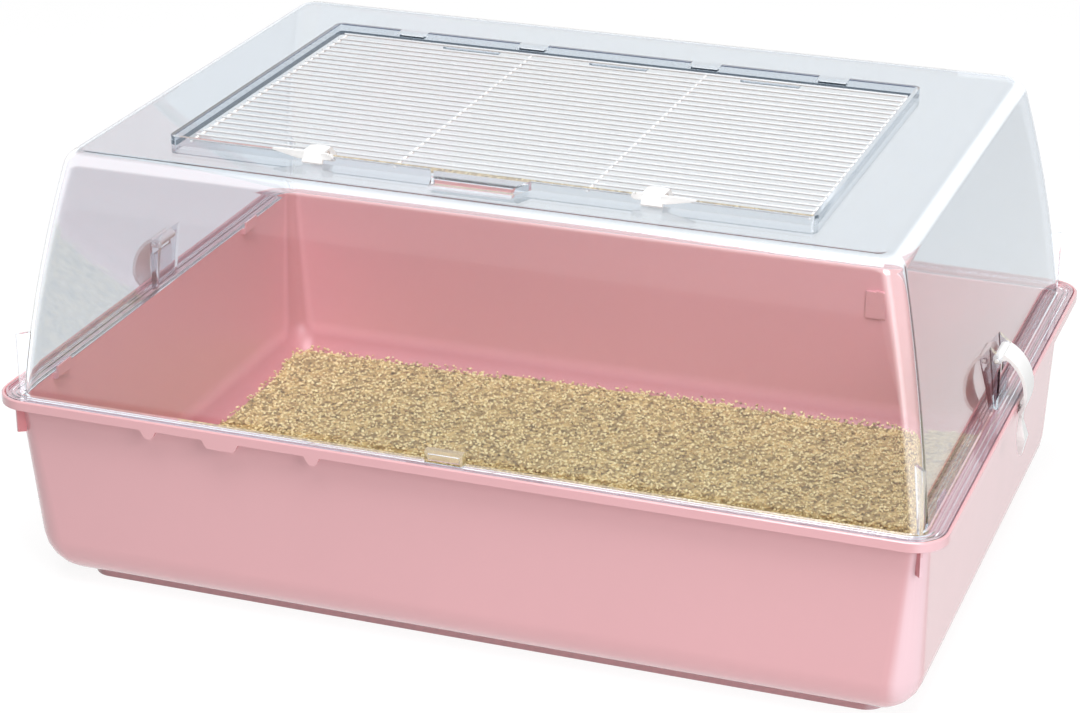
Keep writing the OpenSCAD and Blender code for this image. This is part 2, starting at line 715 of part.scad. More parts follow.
// ---------------------------------------------------------------- end clips
module strap_side() {
    mid_r = strap_r - strap_t / 2;
    translate([pin_x, pin_z]) circle(barrel_r, $fn = round_fn);
    // web from the barrel to the bow
    polygon([
        [pin_x - barrel_r * 0.75, pin_z + barrel_r * 0.65],
        [strap_cx + mid_r * cos(62), strap_cz + mid_r * sin(62)],
        [strap_cx + mid_r * cos(53), strap_cz + mid_r * sin(53)],
        [pin_x + barrel_r * 0.9, pin_z - barrel_r * 0.4]]);
    intersection() {
        translate([strap_cx, strap_cz]) difference() {
            circle(strap_r, $fn = 4 * round_fn);
            circle(strap_r - strap_t, $fn = 4 * round_fn);
        }
        translate([strap_cx, strap_cz]) polygon([
            [0, 0], 2 * strap_r * [cos(62), sin(62)], 2 * strap_r * [1, 0.6],
            2 * strap_r * [1, -0.6], 2 * strap_r * [cos(neck_angle + 1), -sin(neck_angle + 1)]]);
    }
    polygon([
        [neck_x, neck_top + 1], [neck_x + strap_t, neck_top + 1],
        [neck_x + strap_t, leaf_top], [neck_x + strap_t + 3, leaf_top - leaf_l * 0.5],
        [neck_x + strap_t + 1.2, leaf_end + 1], [neck_x + strap_t + 0.4, leaf_end],
        [neck_x + 1.3, leaf_end], [neck_x, leaf_top - leaf_l * 0.5]]);
}

// Outline of the strap and its thumb leaf, seen from the end
module strap_face() {
    w = strap_w / 2;
    neck = strap_w * 0.12;
    leaf = leaf_w / 2;
    half = [
        [w, pin_z + past], [w, neck_top + 11], [w * 0.86, neck_top + 6], [w * 0.6, neck_top + 1],
        [neck, neck_top - neck_l * 0.6], [neck, leaf_top], [leaf * 0.86, leaf_top - leaf_l * 0.3],
        [leaf, leaf_top - leaf_l * 0.45], [leaf * 0.8, leaf_top - leaf_l * 0.68],
        [leaf * 0.3, leaf_end]];
    polygon(concat(half, [for (i = [len(half) - 1:-1:0]) [-half[i][0], half[i][1]]]));
}

module end_clip() {
    intersection() {
        slab_y(strap_w) strap_side();
        translate([rim_x, 0, 0]) slab_x(2 * past) strap_face();
    }
    translate([pin_x, 0, pin_z]) rotate([90, 0, 0]) cylinder(
        h = strap_w + 2 * (cheek_gap + cheek_t) - 0.6, r = pin_r, center = true, $fn = round_fn);
}

module end_clip_right() {
    color(white) end_clip();
}

module end_clip_left() {
    color(white) mirror([1, 0, 0]) end_clip();
}

tub();
litter();
hood();
grille_back_wire();
grille_bars();
grille_front_wire();
grille_cross_wires();
roof_clip_left();
roof_clip_right();
end_clip_left();
end_clip_right();
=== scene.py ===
import math
from functools import partial

import bmesh
import bpy
import numpy as np
from mathutils import Matrix, Vector


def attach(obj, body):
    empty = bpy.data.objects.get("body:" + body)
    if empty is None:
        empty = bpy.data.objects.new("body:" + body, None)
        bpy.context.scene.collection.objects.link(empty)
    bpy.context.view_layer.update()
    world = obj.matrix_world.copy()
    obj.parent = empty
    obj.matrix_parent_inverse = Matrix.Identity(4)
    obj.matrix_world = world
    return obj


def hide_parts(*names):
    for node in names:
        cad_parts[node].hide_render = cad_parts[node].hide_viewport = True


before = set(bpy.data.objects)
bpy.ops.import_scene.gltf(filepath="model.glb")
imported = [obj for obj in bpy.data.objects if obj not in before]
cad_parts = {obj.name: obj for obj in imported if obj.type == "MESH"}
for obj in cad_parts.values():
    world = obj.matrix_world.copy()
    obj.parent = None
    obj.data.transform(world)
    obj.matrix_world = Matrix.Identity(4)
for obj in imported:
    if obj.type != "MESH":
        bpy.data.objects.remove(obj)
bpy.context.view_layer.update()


# ---------------------------------------------------------------- studio
# A white table top is the floor of a white room, under one large lamp overhead and two from the
# front right. The camera stands in front, a little to the right and above, and looks down.
CAMERA_PLACE = Vector((0.53700, -1.50135, 0.79299))
CAMERA_AZIMUTH, CAMERA_DROP, CAMERA_ROLL = -0.33446, 0.40133, 0.00716
CAMERA_LENS_MM, CAMERA_SENSOR_MM = 96.871, 36.0
CAMERA_SHIFT = (-0.04342, -0.00710)
STUDIO_WHITE = (1.0, 1.0, 1.0, 1.0)
ROOM_LIGHT, ROOM_SEEN = 0.15, 1.3
FLOOR_HALF = 6
FLOOR_WHITE = (0.75, 0.75, 0.75, 1.0)
FLOOR_ROUGHNESS = 0.9
FLOOR_GLOW, FLOOR_GLOW_SHARE = 1.12, 0.8
# Each lamp: its name, its place, the point it shines at, its side in metres, its watts.
LAMPS = (
    ("overhead_lamp", (0.2, -0.7, 2.1), (0, 0, 0.2), 1.5, 50),
    ("right_lamp", (1.7, -1.6, 1.2), (0, 0, 0.1), 1.0, 27),
    ("low_right_lamp", (1.45, -1.25, 0.35), (0.25, -0.18, 0.06), 0.5, 1.6),
)


def new_material(name):
    """A node material, with its node tree and its Principled shader."""
    material = bpy.data.materials.new(name)
    material.use_nodes = True
    return material, material.node_tree, material.node_tree.nodes["Principled BSDF"]


def worked_out(tree, operation, *values):
    """The result of a math node; each value is a socket or a plain number."""
    node = tree.nodes.new("ShaderNodeMath")
    node.operation = operation
    for socket, value in zip(node.inputs, values):
        if isinstance(value, (int, float)):
            socket.default_value = value
        else:
            tree.links.new(value, socket)
    return node.outputs[0]


def mixed_shader(tree, share, first, second):
    """The first shader, or the second where the share is 1."""
    node = tree.nodes.new("ShaderNodeMixShader")
    for socket, value in zip(node.inputs, (share, first, second)):
        tree.links.new(value, socket)
    return node.outputs[0]


def seen_directly(tree):
    """1 for the camera, and for rays in a mirror or through clear plastic."""
    path = tree.nodes.new("ShaderNodeLightPath").outputs
    mirrored = worked_out(tree, "MAXIMUM", path["Is Camera Ray"], path["Is Glossy Ray"])
    return worked_out(tree, "MAXIMUM", mirrored, path["Is Transmission Ray"])


def white_shine(tree, kind, strength):
    """A white background or emission of the given strength."""
    node = tree.nodes.new(kind)
    node.inputs["Color"].default_value = STUDIO_WHITE
    node.inputs["Strength"].default_value = strength
    return node.outputs[0]


room = bpy.data.worlds.new("studio")
bpy.context.scene.world = room
room.use_nodes = True
tree = room.node_tree
tree.nodes.clear()
room_out = tree.nodes.new("ShaderNodeOutputWorld")
room_shine = mixed_shader(tree, seen_directly(tree),
                          white_shine(tree, "ShaderNodeBackground", ROOM_LIGHT),
                          white_shine(tree, "ShaderNodeBackground", ROOM_SEEN))
tree.links.new(room_shine, room_out.inputs["Surface"])

floor_mesh = bpy.data.meshes.new("table_top")
floor_mesh.from_pydata([(-FLOOR_HALF, -FLOOR_HALF, 0), (FLOOR_HALF, -FLOOR_HALF, 0),
                        (FLOOR_HALF, FLOOR_HALF, 0), (-FLOOR_HALF, FLOOR_HALF, 0)],
                       [], [(0, 1, 2, 3)])
floor = bpy.data.objects.new("table_top", floor_mesh)
bpy.context.scene.collection.objects.link(floor)
floor_material, tree, shader = new_material("table_white")
shader.inputs["Base Color"].default_value = FLOOR_WHITE
shader.inputs["Roughness"].default_value = FLOOR_ROUGHNESS
glow_share = worked_out(tree, "MULTIPLY", seen_directly(tree), FLOOR_GLOW_SHARE)
glow = white_shine(tree, "ShaderNodeEmission", FLOOR_GLOW)
tree.links.new(mixed_shader(tree, glow_share, shader.outputs[0], glow),
               tree.nodes["Material Output"].inputs["Surface"])
floor_mesh.materials.append(floor_material)

for name, place, target, side, watts in LAMPS:
    lamp_data = bpy.data.lights.new(name, "AREA")
    lamp_data.shape = "SQUARE"
    lamp_data.size = side
    lamp_data.energy = watts
    lamp = bpy.data.objects.new(name, lamp_data)
    lamp.location = place
    lamp.rotation_euler = (Vector(target) - Vector(place)).to_track_quat("-Z", "Y").to_euler()
    bpy.context.scene.collection.objects.link(lamp)

forward = Vector((math.sin(CAMERA_AZIMUTH) * math.cos(CAMERA_DROP),
                  math.cos(CAMERA_AZIMUTH) * math.cos(CAMERA_DROP), -math.sin(CAMERA_DROP)))
level_right = forward.cross(Vector((0, 0, 1))).normalized()
level_up = level_right.cross(forward)
camera_right = math.cos(CAMERA_ROLL) * level_right + math.sin(CAMERA_ROLL) * level_up
camera_up = math.cos(CAMERA_ROLL) * level_up - math.sin(CAMERA_ROLL) * level_right
camera_turn = Matrix((camera_right, camera_up, -forward)).transposed().to_4x4()
camera_data = bpy.data.cameras.new("camera")
camera_data.lens = CAMERA_LENS_MM
camera_data.sensor_width = CAMERA_SENSOR_MM
camera_data.shift_x, camera_data.shift_y = CAMERA_SHIFT
camera = bpy.data.objects.new("camera", camera_data)
camera.matrix_world = Matrix.Translation(CAMERA_PLACE) @ camera_turn
bpy.context.scene.collection.objects.link(camera)
bpy.context.scene.camera = camera
bpy.context.scene.view_settings.view_transform = "Standard"


# ---------------------------------------------------------------- tub
# The tub is one injection moulding in pink polypropylene with a satin skin. Its rim is rolled
# outward and down, with a channel that takes the hood's flange, and it stands on a foot ring.
TUB_PINK = (0.680, 0.364, 0.388, 1.0)
# painted light: a warmer pink for the inside walls, for the light that bounces between them
TUB_INSIDE_PAINTED_LIGHT = (0.765, 0.342, 0.375, 1.0)
# painted shade: a darker pink where the inside walls turn into each other and the floor
TUB_TURNS_PAINTED_SHADE = (0.600, 0.220, 0.240, 1.0)
# painted highlight: a paler pink on the outer corner at the front right
TUB_CORNER_PAINTED_HIGHLIGHT = (0.810, 0.560, 0.610, 1.0)
TUB_IOR = 1.55
TUB_GLOSS_OUTSIDE, TUB_GLOSS_INSIDE_MORE = 0.21, 0.14
TUB_COAT_OUTSIDE, TUB_COAT_INSIDE_MORE = 0.5, -0.45
TUB_COAT_ROUGHNESS = 0.15
# share of the painted corner highlight that is kept above the lip
TUB_LIP_SHARE = 0.5
FACES_INWARD = -0.0001
TUB_EDGE_MM = 0.5
WELD_WITHIN = 0.00001
FLAT_WITHIN_DEG = 0.6
SMOOTH_WITHIN_DEG = 32
EDGE_STEPS = 2
LARGE_FACES_FIRST = 100
CLOUD_SCALE, CLOUD_DETAIL = 9.0, 3.0
SMEAR_SCALE, SMEAR_DETAIL = 28.0, 4.0
PEEL_SCALE, PEEL_DETAIL, PEEL_STRENGTH = 900.0, 2.0, 0.35
NOISE_MIDDLE = 0.5
VALUE, COLOUR, VECTOR = "NodeSocketFloat", "NodeSocketColor", "NodeSocketVector"


def finished_copy(node, name, body, edge_mm):
    """The CAD solid with its edges broken as the mould breaks them, and shaded smooth."""
    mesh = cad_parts[node].data.copy()
    mesh.materials.clear()
    piece = bpy.data.objects.new(name, mesh)
    bpy.context.scene.collection.objects.link(piece)
    work = bmesh.new()
    work.from_mesh(mesh)
    bmesh.ops.remove_doubles(work, verts=work.verts, dist=WELD_WITHIN)
    bmesh.ops.dissolve_limit(work, angle_limit=math.radians(FLAT_WITHIN_DEG),
                             verts=work.verts, edges=work.edges)
    work.to_mesh(mesh)
    work.free()
    for polygon in mesh.polygons:
        polygon.use_smooth = True
    mesh.set_sharp_from_angle(angle=math.radians(SMOOTH_WITHIN_DEG))
    edge = piece.modifiers.new("edge", "BEVEL")
    edge.width = edge_mm / 1000
    edge.segments = EDGE_STEPS
    edge.limit_method = "ANGLE"
    edge.angle_limit = math.radians(SMOOTH_WITHIN_DEG)
    flat = piece.modifiers.new("flat_faces", "WEIGHTED_NORMAL")
    flat.mode = "FACE_AREA"
    flat.weight = LARGE_FACES_FIRST
    flat.keep_sharp = True
    evaluated = piece.evaluated_get(bpy.context.evaluated_depsgraph_get())
    final = bpy.data.meshes.new_from_object(evaluated)
    piece.modifiers.clear()
    piece.data = final
    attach(piece, body)
    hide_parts(node)
    return piece


def shader_group(name, inputs, outputs):
    """A shader node group, with the sockets that feed it and the sockets that it fills."""
    group = bpy.data.node_groups.new(name, "ShaderNodeTree")
    for label, kind, value in inputs:
        socket = group.interface.new_socket(label, in_out="INPUT", socket_type=kind)
        socket.default_value = value
    for label, kind in outputs:
        group.interface.new_socket(label, in_out="OUTPUT", socket_type=kind)
    given = group.nodes.new("NodeGroupInput").outputs
    return group, given, group.nodes.new("NodeGroupOutput").inputs


def group_node(tree, group, values):
    """A node that runs a group, with the named input values."""
    node = tree.nodes.new("ShaderNodeGroup")
    node.node_tree = group
    for label, value in values.items():
        node.inputs[label].default_value = value
    return node


def noise(tree, place, scale, detail):
    """The value of a noise texture at a place."""
    node = tree.nodes.new("ShaderNodeTexNoise")
    node.inputs["Scale"].default_value = scale
    node.inputs["Detail"].default_value = detail
    tree.links.new(place, node.inputs["Vector"])
    return node.outputs["Fac"]


def scaled(tree, color, amount):
    """A colour times a value."""
    node = tree.nodes.new("ShaderNodeVectorMath")
    node.operation = "SCALE"
    tree.links.new(color, node.inputs[0])
    tree.links.new(amount, node.inputs["Scale"])
    return node.outputs[0]


def mixed(tree, mask, first, second):
    """The first colour, or the second where the mask is 1; each is a socket or a colour."""
    node = tree.nodes.new("ShaderNodeMix")
    node.data_type = "RGBA"
    tree.links.new(mask, node.inputs[0])
    for socket, value in ((node.inputs[6], first), (node.inputs[7], second)):
        if isinstance(value, tuple):
            socket.default_value = value
        else:
            tree.links.new(value, socket)
    return node.outputs[2]


def axes(tree, vector):
    """The x, y and z of a vector."""
    node = tree.nodes.new("ShaderNodeSeparateXYZ")
    tree.links.new(vector, node.inputs[0])
    return node.outputs[0], node.outputs[1], node.outputs[2]


def soft_mask(tree, value, start, full):
    """0 up to the start, 1 from full on, and a soft passage between the two."""
    node = tree.nodes.new("ShaderNodeMapRange")
    node.interpolation_type = "SMOOTHSTEP"
    tree.links.new(value, node.inputs["Value"])
    tree.links.new(start, node.inputs["From Min"])
    tree.links.new(full, node.inputs["From Max"])
    return node.outputs["Result"]


def turned_mask(tree, normal, start, full):
    """1 where a surface turns from one wall into the next, 0 on the flat of a wall."""
    size = tree.nodes.new("ShaderNodeVectorMath")
    size.operation = "ABSOLUTE"
    tree.links.new(normal, size.inputs[0])
    x, y, z = axes(tree, size.outputs[0])
    largest = worked_out(tree, "MAXIMUM", worked_out(tree, "MAXIMUM", x, y), z)
    return soft_mask(tree, largest, start, full)


def bumped(tree, shader, height, strength, distance):
    """Gives a shader the relief that a height describes."""
    bump = tree.nodes.new("ShaderNodeBump")
    bump.inputs["Strength"].default_value = strength
    bump.inputs["Distance"].default_value = distance
    tree.links.new(height, bump.inputs["Height"])
    tree.links.new(bump.outputs["Normal"], shader.inputs["Normal"])


# Skin of a moulding: a faint cloudiness of colour, uneven gloss, and the fine orange peel
# that the mould leaves.
moulded, given, filled = shader_group(
    "moulded_skin",
    [("Color", COLOUR, (0.8, 0.8, 0.8, 1)), ("Cloud", VALUE, 0.06), ("Gloss", VALUE, 0.35),
     ("Gloss Spread", VALUE, 0.1), ("Grain", VALUE, 1.0)],
    [("Color", COLOUR), ("Roughness", VALUE), ("Height", VALUE)])
calc = partial(worked_out, moulded)
place = moulded.nodes.new("ShaderNodeTexCoord").outputs["Object"]
cloud = calc("SUBTRACT", noise(moulded, place, CLOUD_SCALE, CLOUD_DETAIL), NOISE_MIDDLE)
cloud_amount = calc("MULTIPLY_ADD", cloud, given["Cloud"], 1.0)
moulded.links.new(scaled(moulded, given["Color"], cloud_amount), filled["Color"])
smear = calc("SUBTRACT", noise(moulded, place, SMEAR_SCALE, SMEAR_DETAIL), NOISE_MIDDLE)
gloss = calc("MULTIPLY_ADD", smear, given["Gloss Spread"], given["Gloss"])
moulded.links.new(gloss, filled["Roughness"])
peel = calc("MULTIPLY", noise(moulded, place, PEEL_SCALE, PEEL_DETAIL), given["Grain"])
moulded.links.new(peel, filled["Height"])


def moulded_material(name, color, cloud, gloss, spread, grain_mm):
    """A moulded plastic: the skin group feeds colour, roughness and a bump."""
    material, tree, shader = new_material(name)
    skin = group_node(tree, moulded, {"Color": color, "Cloud": cloud, "Gloss": gloss,
                                      "Gloss Spread": spread})
    tree.links.new(skin.outputs["Color"], shader.inputs["Base Color"])
    tree.links.new(skin.outputs["Roughness"], shader.inputs["Roughness"])
    bumped(tree, shader, skin.outputs["Height"], PEEL_STRENGTH, grain_mm / 1000)
    return material, tree, shader, skin


# Pink of the tub, with painted light in it: a warmer pink inside is painted light for the light
# that bounces between the inner walls, a darker pink where the inside walls turn into each other
# and the floor is painted shade, and a paler pink on the outer corner at the front right is a
# painted highlight. The outside is polished; the inside is duller and has almost no sheen over
# it.
pinks, given, filled = shader_group(
    "tub_pinks_painted_light",
    [("Normal", VECTOR, (0, 0, 1)), ("Place", VECTOR, (0, 0, 0)),
     ("Color", COLOUR, TUB_PINK), ("Inside", COLOUR, TUB_INSIDE_PAINTED_LIGHT),
     ("Turns", COLOUR, TUB_TURNS_PAINTED_SHADE), ("Corner", COLOUR, TUB_CORNER_PAINTED_HIGHLIGHT),
     ("Turn Start", VALUE, 0.985), ("Turn Full", VALUE, 0.86),
     ("Floor Facing", VALUE, 0.3), ("Floor Height", VALUE, 0.06),
     ("Corner Start", VALUE, 0.15), ("Corner Full", VALUE, 0.43),
     ("Corner X", VALUE, 0.215), ("Lip Height", VALUE, 0.1125)],
    [("Color", COLOUR), ("Coat", VALUE), ("Gloss", VALUE)])
calc = partial(worked_out, pinks)
facing_x, facing_y, facing_z = axes(pinks, given["Normal"])
x, y, z = axes(pinks, given["Place"])
outward = calc("ADD", calc("MULTIPLY", facing_x, x), calc("MULTIPLY", facing_y, y))
inward = calc("LESS_THAN", outward, FACES_INWARD)
on_floor = calc("MULTIPLY", calc("GREATER_THAN", facing_z, given["Floor Facing"]),
                calc("LESS_THAN", z, given["Floor Height"]))
inside = calc("MAXIMUM", inward, on_floor)
# painted shade mask: the inside turns between the walls and the floor
inside_turns_painted_shade = calc("MULTIPLY", inside,
                    turned_mask(pinks, given["Normal"], given["Turn Start"], given["Turn Full"]))
# painted highlight mask: the outer corner at the front right, at half strength above the lip
across = soft_mask(pinks, calc("ABSOLUTE", calc("MULTIPLY", facing_x, facing_y)),
                   given["Corner Start"], given["Corner Full"])
on_right = calc("GREATER_THAN", calc("SUBTRACT", x, inside), given["Corner X"])
front_right = calc("MULTIPLY", on_right, calc("LESS_THAN", y, 0.0))
below_lip = calc("LESS_THAN", z, given["Lip Height"])
lip_share = calc("MULTIPLY_ADD", below_lip, 1.0 - TUB_LIP_SHARE, TUB_LIP_SHARE)
corner_painted_highlight = calc("MULTIPLY", calc("MULTIPLY", front_right, lip_share), across)
# painted light: the warmer inside pink
inside_painted_light = mixed(pinks, inside, given["Color"], given["Inside"])
# painted shade: the darker pink in the inside turns
turns_painted_shade = mixed(pinks, inside_turns_painted_shade, inside_painted_light, given["Turns"])
# painted highlight: the paler pink on the front right corner
pinks.links.new(mixed(pinks, corner_painted_highlight, turns_painted_shade, given["Corner"]), filled["Color"])
pinks.links.new(calc("MULTIPLY_ADD", inside, TUB_COAT_INSIDE_MORE, TUB_COAT_OUTSIDE),
                filled["Coat"])
pinks.links.new(calc("MULTIPLY_ADD", inside, TUB_GLOSS_INSIDE_MORE, TUB_GLOSS_OUTSIDE),
                filled["Gloss"])

tub = finished_copy("tub", "pink_tub", "tub", TUB_EDGE_MM)
tub_material, tree, shader, skin = moulded_material(
    "pink_polypropylene", TUB_PINK, cloud=0.05, gloss=TUB_GLOSS_OUTSIDE, spread=0.06,
    grain_mm=0.03)
shader.inputs["IOR"].default_value = TUB_IOR
shader.inputs["Coat Roughness"].default_value = TUB_COAT_ROUGHNESS
place = tree.nodes.new("ShaderNodeTexCoord").outputs
pink = group_node(tree, pinks, {})
tree.links.new(place["Normal"], pink.inputs["Normal"])
tree.links.new(place["Object"], pink.inputs["Place"])
tree.links.new(pink.outputs["Color"], skin.inputs["Color"])
tree.links.new(pink.outputs["Gloss"], skin.inputs["Gloss"])
tree.links.new(pink.outputs["Coat"], shader.inputs["Coat Weight"])
tub.data.materials.append(tub_material)


# ---------------------------------------------------------------- litter
# Loose tan granules, two to three millimetres across, poured into the tub and raked level.
# A rough bed carries a top layer of single crumbs, and shows between them.
BED_LEVEL, BED_RISE_X, BED_RISE_Y = 0.014, 0.01204, 0.01501
MOUND_HIGH, MOUND_PITCH_X, MOUND_PITCH_Y = 0.0009, 0.27, 0.21
MOUND_START_X, MOUND_START_Y = 1.3, 0.4
INSIDE_X, INSIDE_Y, INSIDE_R = 0.2598, 0.1766, 0.0206
INSIDE_FLOOR, FLOOR_ROUND = 0.0074, 0.0246
BED_HALF_X, BED_HALF_Y, BED_STEP = 0.2565, 0.1725, 0.003
GRID_END = 0.0001
BED_DROP, BED_ROUGH, BED_CLEAR = 0.0013, 0.0004, 0.0003
BED_SHADE = 0.38
CRUMB_FORMS, CRUMB_POINTS = 6, 9
CRUMB_PROPORTIONS = (1.0, 0.8, 0.62)
CRUMB_KNOB_LEAST, CRUMB_KNOB_MORE = 0.8, 0.25
CRUMB_HALF_MM, CRUMB_SMALLEST, CRUMB_LARGEST = 1.5, 0.6, 1.15
CRUMB_HALF_X, CRUMB_HALF_Y, CRUMB_SPACING = 0.256, 0.172, 0.0027
CRUMB_STRAY, CRUMB_SINK, CRUMB_RISE, CRUMB_CLEAR = 0.0014, 0.0012, 0.0008, 0.0014
CRUMB_DEPTH_LEAST = -0.0002
CRUMB_TURN, CRUMB_TILT = 6.283, 0.7
CRUMB_DARKENING = 2.2
TAN_DARK, TAN_MIDDLE = (0.20, 0.13, 0.045, 1.0), (0.74, 0.56, 0.24, 1.0)
TAN_PALE, TAN_MIDDLE_AT = (0.97, 0.85, 0.47, 1.0), 0.35
LITTER_ROUGHNESS = 0.85
FLECK_SCALE, FLECK_DETAIL, FLECK_STRENGTH, FLECK_HIGH = 1400.0, 2.0, 0.5, 0.0003
rng = np.random.default_rng(7)
bed_rng = np.random.default_rng(11)


def litter_level(x, y):
    """Height of the top of the bed: the raked slope and the low mounds of the CAD solid."""
    mounds = (MOUND_HIGH * np.sin(2 * np.pi * x / MOUND_PITCH_X + MOUND_START_X)
              * np.cos(2 * np.pi * y / MOUND_PITCH_Y + MOUND_START_Y))
    return BED_LEVEL + BED_RISE_X * x + BED_RISE_Y * y + mounds


def tub_inside_level(x, y):
    """Height of the tub's inner skin: the flat floor and the round that turns into the wall."""
    past_x, past_y = np.abs(x) - (INSIDE_X - INSIDE_R), np.abs(y) - (INSIDE_Y - INSIDE_R)
    from_wall = (INSIDE_R - np.hypot(np.maximum(past_x, 0), np.maximum(past_y, 0))
                 - np.minimum(np.maximum(past_x, past_y), 0))
    run = np.clip(FLOOR_ROUND - from_wall, 0, FLOOR_ROUND)
    return INSIDE_FLOOR + FLOOR_ROUND - np.sqrt(FLOOR_ROUND ** 2 - run ** 2)


# The grid ends a hair past its last line, so that the line is taken in.
bed_x, bed_y = np.meshgrid(np.arange(-BED_HALF_X, BED_HALF_X + GRID_END, BED_STEP),
                           np.arange(-BED_HALF_Y, BED_HALF_Y + GRID_END, BED_STEP), indexing="ij")
bed_floor = tub_inside_level(bed_x, bed_y)
bed_depth = litter_level(bed_x, bed_y) - bed_floor
bed_z = litter_level(bed_x, bed_y) - BED_DROP + BED_ROUGH * rng.standard_normal(bed_x.shape)
bed_z = np.maximum(bed_z, bed_floor + BED_CLEAR)
bed_verts = np.stack([bed_x.ravel(), bed_y.ravel(), bed_z.ravel()], 1)
rows, columns = bed_x.shape
bed_faces = []
for i in range(rows - 1):
    for j in range(columns - 1):
        if bed_depth[i:i + 2, j:j + 2].min() > 0:
            corner = i * columns + j
            bed_faces.append((corner, corner + columns, corner + columns + 1, corner + 1))

crumb_forms = []
for _ in range(CRUMB_FORMS):
    form = bmesh.new()
    for point in rng.standard_normal((CRUMB_POINTS, 3)):
        knob = CRUMB_KNOB_LEAST + CRUMB_KNOB_MORE * rng.random()
        form.verts.new(point / np.linalg.norm(point) * knob * np.array(CRUMB_PROPORTIONS))
    bmesh.ops.convex_hull(form, input=form.verts)
    for vert in [vert for vert in form.verts if not vert.link_faces]:
        form.verts.remove(vert)
    bmesh.ops.triangulate(form, faces=form.faces)
    form.verts.index_update()
    crumb_forms.append((np.array([vert.co[:] for vert in form.verts]),
                        np.array([[vert.index for vert in face.verts] for face in form.faces])))
    form.free()

crumb_x, crumb_y = np.meshgrid(np.arange(-CRUMB_HALF_X, CRUMB_HALF_X, CRUMB_SPACING),
                               np.arange(-CRUMB_HALF_Y, CRUMB_HALF_Y, CRUMB_SPACING),
                               indexing="ij")
crumb_x = crumb_x.ravel() + rng.uniform(-CRUMB_STRAY, CRUMB_STRAY, crumb_x.size)
crumb_y = crumb_y.ravel() + rng.uniform(-CRUMB_STRAY, CRUMB_STRAY, crumb_y.size)
in_bed = litter_level(crumb_x, crumb_y) - tub_inside_level(crumb_x, crumb_y) > CRUMB_DEPTH_LEAST
crumb_x, crumb_y = crumb_x[in_bed], crumb_y[in_bed]
crumb_z = litter_level(crumb_x, crumb_y) + rng.uniform(-CRUMB_SINK, CRUMB_RISE, crumb_x.size)
crumb_z = np.maximum(crumb_z, tub_inside_level(crumb_x, crumb_y) + CRUMB_CLEAR)
litter_verts, crumb_faces = [bed_verts], []
shades = [bed_rng.uniform(0.0, BED_SHADE, len(bed_verts))]
offset = len(bed_verts)
for spot in zip(crumb_x, crumb_y, crumb_z):
    form, triangles = crumb_forms[int(rng.integers(CRUMB_FORMS))]
    turn = (Matrix.Rotation(rng.uniform(0, CRUMB_TURN), 3, "Z")
            @ Matrix.Rotation(rng.uniform(-CRUMB_TILT, CRUMB_TILT), 3, "X"))
    half = CRUMB_HALF_MM / 1000 * rng.uniform(CRUMB_SMALLEST, CRUMB_LARGEST)
    litter_verts.append(form @ np.array(turn).T * half + np.array(spot))
    crumb_faces.append(triangles + offset)
    shades.append(np.full(len(form), 1.0 - rng.uniform(0.0, 1.0) ** CRUMB_DARKENING))
    offset += len(form)
litter_mesh = bpy.data.meshes.new("litter_bed")
litter_mesh.from_pydata(np.concatenate(litter_verts).tolist(), [],
                        bed_faces + np.concatenate(crumb_faces).tolist())
shade = litter_mesh.attributes.new("crumb", "FLOAT", "POINT")
shade.data.foreach_set("value", np.concatenate(shades).astype(np.float32))
litter = bpy.data.objects.new("litter_bed", litter_mesh)
bpy.context.scene.collection.objects.link(litter)
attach(litter, "tub")
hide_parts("litter")
litter_material, tree, shader = new_material("corn_granules")
crumb = tree.nodes.new("ShaderNodeAttribute")
crumb.attribute_name = "crumb"
ramp = tree.nodes.new("ShaderNodeValToRGB")
tans = ramp.color_ramp.elements
tans[0].position, tans[0].color = 0.0, TAN_DARK
tans[1].position, tans[1].color = 1.0, TAN_PALE
tans.new(TAN_MIDDLE_AT).color = TAN_MIDDLE
tree.links.new(crumb.outputs["Fac"], ramp.inputs["Fac"])
tree.links.new(ramp.outputs["Color"], shader.inputs["Base Color"])
shader.inputs["Roughness"].default_value = LITTER_ROUGHNESS
place = tree.nodes.new("ShaderNodeTexCoord").outputs["Object"]
bumped(tree, shader, noise(tree, place, FLECK_SCALE, FLECK_DETAIL), FLECK_STRENGTH, FLECK_HIGH)
litter_mesh.materials.append(litter_material)


# ---------------------------------------------------------------- hood
# The hood is moulded in clear polystyrene, two millimetres thick, and drops into the channel of
# the tub's rim. Its rounded edges carry a painted highlight, and the walls carry a faint
# blue-grey.
HOOD_TINT, HOOD_TINT_ALONG = (0.82, 0.86, 0.90, 1.0), (0.0, 0.10, 0.20, 1.0)
HOOD_ALONG_BLEND, HOOD_ALONG_POWER = 0.57, 4.5
HOOD_IOR = 1.18
HOOD_COAT, HOOD_COAT_ROUGHNESS = 0.9, 0.03
HOOD_GLOSS, HOOD_HAZY_GLOSS = 0.03, 0.22
# painted glow: the emission colour for the hazy faces
# painted highlight: the emission colour for the hood's rounded edges
HOOD_PAINTED_EDGE_HIGHLIGHT, HOOD_HAZE_PAINTED_GLOW = (0.17, 0.165, 0.165, 1.0), (0.15, 0.14, 0.145, 1.0)
HOOD_PASSES, HOOD_CAUGHT = (1.0, 0.99, 0.99, 1.0), (0.52, 0.56, 0.60, 1.0)
TURNS_TO_CATCH = 1.5
# painted shade: the near-black line on the kerb top, where the wall is seen end on
KERB_PAINTED_DARK_LINE = (0.02, 0.03, 0.07, 1.0)
HOOD_EDGE_MM = 0.35
KERB_FRONT_Y, ROOF_Z = -0.1312, 0.2653
GRIP_HALF, GRIP_Y, GRIP_Z = 0.029, -0.1535, 0.2632
CATCH_HALF, CATCH_Y, CATCH_Z = 0.0115, -0.1865, 0.1265

